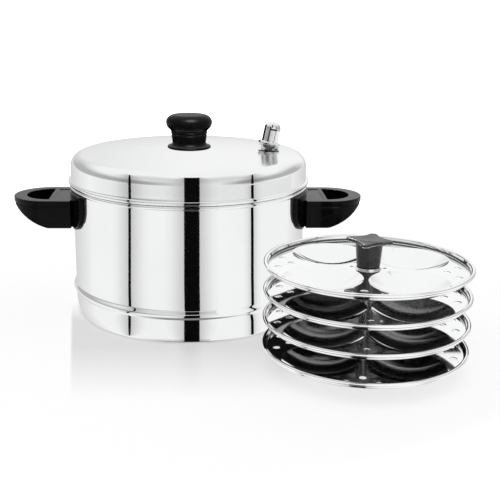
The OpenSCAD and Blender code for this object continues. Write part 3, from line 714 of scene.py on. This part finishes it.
def make_surround():
    """A white surround, a little grey low at the back and high at both sides."""
    world = bpy.data.worlds.new("surround")
    bpy.context.scene.world = world
    world.use_nodes = True
    world.node_tree.nodes.clear()
    s = Nodes(world.node_tree)
    x, y, z = s.axes(s.add("ShaderNodeTexCoord").outputs["Generated"])
    low_back = s.math("MULTIPLY", s.span(y, 0.33, 1.0, 0.0, 1.0),
                      s.math("ADD", s.span(z, -0.05, 0.05, 0.16, 0.0), s.span(z, 0.02, 0.2, 0.2, 0.0)))
    sides = s.math("MINIMUM", s.span(x, -0.6, 0.0, 0.5, 1.0), s.span(x, 0.45, 0.75, 1.0, 0.5))
    high = s.math("MULTIPLY", s.span(z, 0.0, 0.1, 0.0, 1.0), s.span(z, 0.35, 0.6, 1.0, 0.0))
    grey_side = s.math("MULTIPLY", s.math("SUBTRACT", 1.0, sides), high)
    bright = s.math("MULTIPLY", s.math("SUBTRACT", 1.0, low_back), s.math("SUBTRACT", 1.0, grey_side))
    tone = s.add("ShaderNodeCombineXYZ", X=bright, Y=bright, Z=bright)
    mirrored = s.add("ShaderNodeBackground", Color=tone.outputs[0], Strength=1.0)
    lighting = s.add("ShaderNodeBackground", Color=(1, 1, 1, 1), Strength=0.5)
    seen = s.add("ShaderNodeBackground", Color=(1, 1, 1, 1), Strength=1.0)
    path = s.add("ShaderNodeLightPath")
    first = s.blend(path.outputs["Is Camera Ray"], lighting.outputs[0], seen.outputs[0])
    pick = s.blend(path.outputs["Is Glossy Ray"], first, mirrored.outputs[0])
    s.add("ShaderNodeOutputWorld", Surface=pick)


class Flags:
    """Patches that only reflections see, each corner with its own cover over a clear ground.

    side: "outer" or "inner" where one side alone is seen; reach: (nearest, furthest) that sees it, in mm.
    """

    def __init__(self, name, bright, at=Matrix.Identity(4), side=None, reach=None):
        self.name, self.bright, self.at, self.side, self.reach = name, bright, at, side, reach
        self.bm = bmesh.new()
        self.shade = self.bm.loops.layers.float_color.new("shade")

    def patch(self, *corners):
        """Each corner is (x, y, z, cover)."""
        face = self.bm.faces.new([self.bm.verts.new(self.at @ Vector(c[:3])) for c in corners])
        for loop, corner in zip(face.loops, corners):
            loop[self.shade] = (corner[3],) * 3 + (1,)

    def wall(self, a, b, low, high, foot=1, top=1):
        """An upright patch from a to b, both (x, y); foot and top: the cover along each."""
        self.patch((*a, low, foot), (*b, low, foot), (*b, high, top), (*a, high, top))

    def round_patch(self, radius, *corners):
        """Each corner is (degrees from -Y, z, cover) on a cylinder."""
        self.patch(*[(*polar(radius, a - 90), z, dark) for a, z, dark in corners])

    def arched(self, radius, z0, z1, lower, upper):
        """A band on a cylinder between two heights; lower: (left, right, cover left, cover right)."""
        left, right, first, last = lower
        n = math.ceil((right - left) / 4)
        for j in range(n):
            (a0, b0), (a1, b1) = ([start + (end - start) * i / n for i in (j, j + 1)]
                                  for start, end in ((left, right), upper))
            f, g = (first + (last - first) * i / n for i in (j, j + 1))
            self.round_patch(radius, (a0, z0, f), (b0, z0, g), (b1, z1, g), (a1, z1, f))

    def ring_patch(self, a, b, inner, outer, height):
        """A sector of a ring round the axis, at a height that depends on the radius."""
        corners = ((inner, a), (outer, a), (outer, b), (inner, b))
        self.patch(*[(*polar(r, deg - 90), height(r), 1) for r, deg in corners])

    def finish(self):
        flags = finish_mesh(self.name, self.bm, recalc=False)
        s = Shader(self.name)
        s.tree.nodes.remove(s.bsdf)
        shade = s.add("ShaderNodeAttribute")
        shade.attribute_name = "shade"
        cover = shade.outputs["Fac"]
        checks = []
        if self.side:
            back = s.add("ShaderNodeNewGeometry").outputs["Backfacing"]
            checks.append(("GREATER_THAN" if self.side == "inner" else "LESS_THAN", back, 0.5))
        if self.reach:
            length = s.add("ShaderNodeLightPath").outputs["Ray Length"]
            nearest, furthest = self.reach
            checks += [("GREATER_THAN", length, nearest * MM), ("LESS_THAN", length, furthest * MM)]
        for check in checks:
            cover = s.math("MULTIPLY", cover, s.math(*check))
        clear = s.add("ShaderNodeBsdfTransparent")
        glow = s.add("ShaderNodeEmission", Color=(self.bright,) * 3 + (1,))
        s.surface(s.blend(cover, clear.outputs[0], glow.outputs[0]))
        flags.data.materials.append(s.mat)
        for way in ("camera", "diffuse", "transmission", "volume_scatter", "shadow"):
            setattr(flags, "visible_" + way, False)


def mirror_spots():
    """Spots up the front of the pot and lid: radius, height, and how far the sheet faces up, in degrees."""
    heel = [(POT_R - HEEL_R, HEEL_Z, HEEL_R, tilt) for tilt in range(-30, 1, 5)]
    shoulder = [(*SHOULDER_C, SHOULDER_R, tilt) for tilt in range(0, 46, 5)]
    spots = [(x + r * math.cos(math.radians(tilt)), z + r * math.sin(math.radians(tilt)), tilt)
             for x, z, r, tilt in heel + shoulder]
    spots += [(POT_R, z, 0) for z in (36, 75, 126)] + [(SKIRT_R, z, 0) for z in (SKIRT_LOW, SKIRT_TOP)]
    return sorted(spots, key=lambda spot: spot[1])


def mirrored(camera, spot, column):
    """The ray that the camera sees mirrored by a spot in a column: its start and its direction."""
    radius, height, tilt = spot
    view = camera.matrix_world.inverted()
    first, last = -80.0, 80.0
    for _ in range(40):
        middle = (first + last) / 2
        start = Vector((*polar(radius, middle - 90), height))
        seen = view @ (start * MM)
        if PICTURE * (0.5 - camera.data.lens / camera.data.sensor_width * seen.x / seen.z) < column:
            first = middle
        else:
            last = middle
    level, rise = polar(1, tilt)
    normal = Vector((*polar(level, middle - 90), rise))
    return start, (start - camera.matrix_world.translation / MM).reflect(normal)


def band_edge(camera, spot, column):
    """Where a mirrored ray meets the tall flags: degrees round the pot from -Y, and height."""
    start, way = mirrored(camera, spot, column)
    a, b = way.xy.length_squared, start.xy.dot(way.xy)
    c = start.xy.length_squared - FLAG_R ** 2
    hit = start + way * ((math.sqrt(b * b - a * c) - b) / a)
    return math.degrees(math.atan2(hit.x, -hit.y)), hit.z


def card_spot(camera, spot, column, turned, out):
    """Where a mirrored ray meets the card: place along it, and height."""
    start, way = (turned.inverted() @ v for v in mirrored(camera, spot, column))
    hit = start + way * ((out - start.x) / way.x)
    return hit.y, hit.z


def make_bands(camera):
    """The three tall black flags, with the grey beside each, in rows that only the pot and lid see."""
    rows = []
    for spot in mirror_spots()[::-1]:
        edges = [[band_edge(camera, spot, column) for column in band] for band in BAND_EDGES]
        rows.append((spot[2], [(a, b, (low + high) / 2) for (a, low), (b, high) in edges]))
    for i, ((_, upper), (tilt, lower)) in enumerate(zip(rows, rows[1:])):
        # The heel mirrors its rows from farther off, the lower they are.
        near = POT_REACH if tilt >= 0 else 0.68 * math.hypot(FLAG_R, upper[1][2])
        flags = Flags(f"band_row_{i}", DARK, reach=(near, WALL_REACH if 0 <= tilt < 20 else ALL_REACH))
        for (l1, r1, z1), (l0, r0, z0) in zip(upper, lower):
            flags.arched(FLAG_R, z0, z1, (l0, r0, 1, 1), (l1, r1))
            for (d0, s0), (d1, s1) in zip(FLANK, FLANK[1:]):
                flags.arched(FLAG_R + 1, z0, z1, (l0 - d1, l0 - d0, s1, s0), (l1 - d1, l1 - d0))
                flags.arched(FLAG_R + 1, z0, z1, (r0 + d0, r0 + d1, s0, s1), (r1 + d0, r1 + d1))
        flags.finish()


def make_veil_and_sole():
    veil = Flags("veil", DARK, reach=(POT_REACH, ALL_REACH))
    for a in range(-VEIL_END, VEIL_END, 5):
        b = a + 5
        f, g = (min(1.0, (VEIL_END - abs(deg)) / VEIL_FADE) for deg in (a, b))
        for (z0, s0), (z1, s1) in zip(VEIL, VEIL[1:]):
            veil.round_patch(FLAG_R + 2, (a, z0, s0 * f), (b, z0, s0 * g), (b, z1, s1 * g), (a, z1, s1 * f))
    veil.finish()
    sole = Flags("sole", DARK, reach=(POT_REACH, ALL_REACH))
    for a in range(0, 360, 10):
        b = a + 10
        for (r0, s0), (r1, s1) in zip(SOLE, SOLE[1:]):
            corners = ((r0, a, s0), (r1, a, s1), (r1, b, s1), (r0, b, s0))
            sole.patch(*[(*polar(r, deg), SOLE_Z, dark) for r, deg, dark in corners])
    sole.finish()


def make_close_flags():
    """The flags that the knob and the whistle mirror; the knob mirrors a dark sheet laid on the lid behind
    it, painted shade in its reflection.
    """
    shade = Flags("shade", DARK, side="outer", reach=(0, 90))
    for a in range(75, 285, 10):
        shade.ring_patch(a, a + 10, 23, 42 if a < 105 else 62, lambda r: dome_height(r) + 0.4)
    shade.finish()
    for name, rows, side in (("streaks", STREAKS, "inner"), ("ring", RING, None)):
        flags = Flags(name, DARK, vent_frame, side, (0, WHISTLE_REACH))
        for first, last, low, top, dark in rows:
            n = math.ceil((last - first) / 12)
            edges = [first + (last - first) * j / n for j in range(n + 1)]
            for a, b in zip(edges, edges[1:]):
                flags.round_patch(WHISTLE_FLAG_R, (a, low, dark), (b, low, dark),
                                  (b, top, dark), (a, top, dark))
        flags.finish()


def make_cards(camera):
    """The pot and the stand were photographed apart: a card keeps each out of the other's mirror.

    It is white, a painted white reflection, but dark over each plate, painted shade that the plates mirror,
    as the card behind the stand is. Its white would hide the right-hand flag, so that is drawn on it.
    """
    turned = Matrix.Rotation(math.atan2(STAND[1], STAND[0]), 4, "Z")
    card = Flags("white_card", 1.0, turned)
    card.wall(*[(CARD_X, end) for end in CARD_ENDS], *CARD_HEIGHTS)
    card.finish()
    card_band = Flags("card_band", DARK, turned)
    out = CARD_X - 0.2
    below = [spot for spot in mirror_spots() if spot[2] <= 0]
    rows = [[card_spot(camera, spot, column, turned, out) for column in CARD_EDGES] for spot in below]
    for lower, upper in zip(rows, rows[1:]):
        for k, (s0, s1) in enumerate(CARD_SHADES):
            card_band.patch((out, *lower[k], s0), (out, *lower[k + 1], s1),
                            (out, *upper[k + 1], s1), (out, *upper[k], s0))
    # The veil goes on over the card's top.
    for low, high, foot in ((131, 135, 0), (135, CARD_HEIGHTS[1], 0.14)):
        card_band.wall(*[(CARD_X - 0.1, end) for end in CARD_ENDS], low, high, foot, 0.14)
    card_band.finish()
    # Painted shade over each plate, which the plates mirror
    dark_card = Flags("dark_card", 0.004, turned)
    for z, rise in zip(PLATE_Z, PLATE_SHADES):
        dark_card.wall(*[(CARD_X + 0.2, end) for end in (CARD_ENDS[0] + 2, CARD_ENDS[1])], z - 4, z + rise)
    dark_card.finish()
    # A dark card just behind the stand, low down: painted shade that the plates mirror
    low_card = Flags("low_card", 0.004)
    low_card.wall((150, -50), (360, -50), -20, 66)
    low_card.finish()
    # A dark card far behind the stand: painted shade that the plates' cups mirror
    back_card = Flags("back_card", 0.004, reach=(515, 2000))
    back_card.wall((60, 400), (330, 400), -150, 190)
    back_card.finish()


def make_lamp(name, where, aim, width, height, watts, lights):
    """A soft lamp for the named pieces."""
    lamp = bpy.data.objects.new(name, bpy.data.lights.new(name, "AREA"))
    lamp.data.shape = "RECTANGLE"
    lamp.data.size, lamp.data.size_y = width, height
    lamp.data.energy = watts
    lamp.location = where
    lamp.rotation_euler = (Vector(aim) - Vector(where)).to_track_quat("-Z", "Y").to_euler()
    bpy.context.scene.collection.objects.link(lamp)
    group = bpy.data.collections.new(name + "_lights")
    for piece in lights:
        group.objects.link(bpy.data.objects[piece])
    lamp.light_linking.receiver_collection = group
    lamp.visible_camera = False


camera = make_camera()
make_floor()
make_surround()
make_bands(camera)
make_veil_and_sole()
make_close_flags()
make_cards(camera)
grips = ("handle_grip_left", "handle_grip_right", "star_knob_grey")
cap = ("lid_knob_black",)
make_lamp("back_lamp", (0.08, 1.3, 2.2), (0, -0.15, 0), 0.12, 2.2, 42.0, grips)
make_lamp("gloss_lamp", (0.62, -1.15, 0.75), (0, 0, 0.15), 0.3, 0.7, 8.0, grips)
make_lamp("knob_lamp", (0.04, -0.16, 0.46), (0, -0.01, 0.19), 0.16, 0.12, 3.0, cap)
make_lamp("lid_glow", (0.009, -0.029, 0.1645), (0.009, -0.029, 0.3), 0.018, 0.012, 0.01, cap)
make_lamp("loop_lamp", (0.18, -0.36, 0.03), (0.15, -0.03, 0.115), 0.25, 0.1, 0.3, ("handle_grip_right",))
bpy.context.scene.view_settings.view_transform = "Standard"
